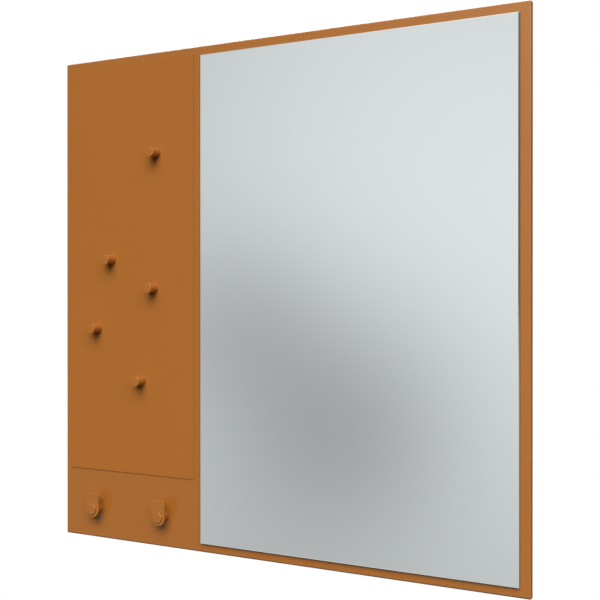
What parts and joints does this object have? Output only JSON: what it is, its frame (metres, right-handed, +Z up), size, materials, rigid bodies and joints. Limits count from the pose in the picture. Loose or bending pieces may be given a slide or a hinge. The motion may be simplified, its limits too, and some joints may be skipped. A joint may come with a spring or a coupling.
{
  "type": "wall mirror with notice board",
  "caption": "Square lacquered wall panel with a tall mirror, a magnetic notice board with round magnetic pins, and coat hooks; it hangs on a hidden wall rail.",
  "frame": {"origin": "on the wall, at the middle of the wall rail's row of screw holes", "axes": "+Z up, +Y into the wall, so the front faces -Y, and +X to the right as seen from the front"},
  "size_m": [0.696, 0.0323, 0.696],
  "materials": {
    "panel_lacquer": "amber brown silk-matt lacquer on fibreboard",
    "metal_lacquer": "amber brown silk-matt lacquer on steel",
    "pin_lacquer": "amber brown silk-matt lacquer on turned metal",
    "mirror": "silvered float glass with a ground and polished arris",
    "film": "matt safety film",
    "tape": "black foam tape",
    "adhesive": "clear adhesive film",
    "magnet": "nickel plated",
    "rail": "mill finish extrusion",
    "screw": "zinc plated",
    "pad": "matt moulded rubber"
  },
  "bodies": {
    "wall_rail": {"wall_rail": "rail"},
    "panel": {"panel_rail": "rail", "rail_screws": "screw", "spacer_pads": "pad", "base_panel": "panel_lacquer", "board_adhesive": "adhesive", "notice_board": "metal_lacquer", "mirror_tape": "tape", "mirror_safety_film": "film", "mirror_pane": "mirror", "hook_screws": "screw", "hook_post_left": "metal_lacquer", "hook_tab_left": "metal_lacquer", "hook_button_left": "metal_lacquer", "hook_post_right": "metal_lacquer", "hook_tab_right": "metal_lacquer", "hook_button_right": "metal_lacquer"},
    "pin_1": {"pin_knob_1": "pin_lacquer", "pin_magnet_1": "magnet"},
    "pin_2": {"pin_knob_2": "pin_lacquer", "pin_magnet_2": "magnet"},
    "pin_3": {"pin_knob_3": "pin_lacquer", "pin_magnet_3": "magnet"},
    "pin_4": {"pin_knob_4": "pin_lacquer", "pin_magnet_4": "magnet"},
    "pin_5": {"pin_knob_5": "pin_lacquer", "pin_magnet_5": "magnet"}
  },
  "joints": [
    {"name": "panel_lift", "type": "slide", "parent": "wall_rail", "child": "panel", "axis": [0, 0, 1], "range_m": [0, 0.013]},
    {"name": "pin_1_pull", "type": "slide", "parent": "panel", "child": "pin_1", "axis": [0, -1, 0], "range_m": [0, 0.04]},
    {"name": "pin_2_pull", "type": "slide", "parent": "panel", "child": "pin_2", "axis": [0, -1, 0], "range_m": [0, 0.04]},
    {"name": "pin_3_pull", "type": "slide", "parent": "panel", "child": "pin_3", "axis": [0, -1, 0], "range_m": [0, 0.04]},
    {"name": "pin_4_pull", "type": "slide", "parent": "panel", "child": "pin_4", "axis": [0, -1, 0], "range_m": [0, 0.04]},
    {"name": "pin_5_pull", "type": "slide", "parent": "panel", "child": "pin_5", "axis": [0, -1, 0], "range_m": [0, 0.04]}
  ]
}
